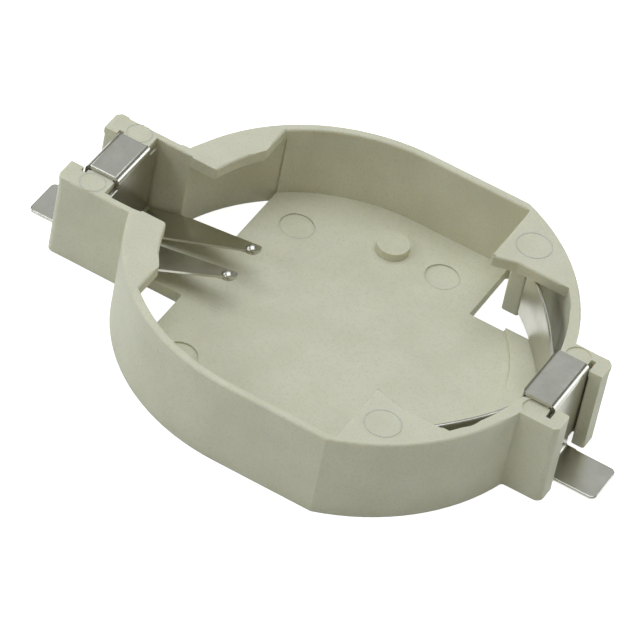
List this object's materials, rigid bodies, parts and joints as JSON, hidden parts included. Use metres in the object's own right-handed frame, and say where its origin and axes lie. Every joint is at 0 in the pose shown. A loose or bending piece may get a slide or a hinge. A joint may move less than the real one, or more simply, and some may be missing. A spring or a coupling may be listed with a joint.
{
  "type": "coin cell holder",
  "caption": "Surface-mount coin cell holder: a low moulded ring with a contact block at each end and two folded spring contacts with solder tabs.",
  "frame": {"origin": "middle of the ring's narrower arc, on the board's face", "axes": "+X from the negative contact to the positive one, +Z away from the board"},
  "size_m": [0.034, 0.0218, 0.0055],
  "materials": {
    "housing": "glass-filled nylon as moulded, satin, warm light grey",
    "negative_contact": "bright tin-nickel plated strip with sheared edges",
    "positive_contact": "bright tin-nickel plated strip with sheared edges"
  },
  "bodies": {
    "root": {"housing": "housing", "negative_contact": "negative_contact", "positive_contact": "positive_contact"}
  },
  "joints": []
}
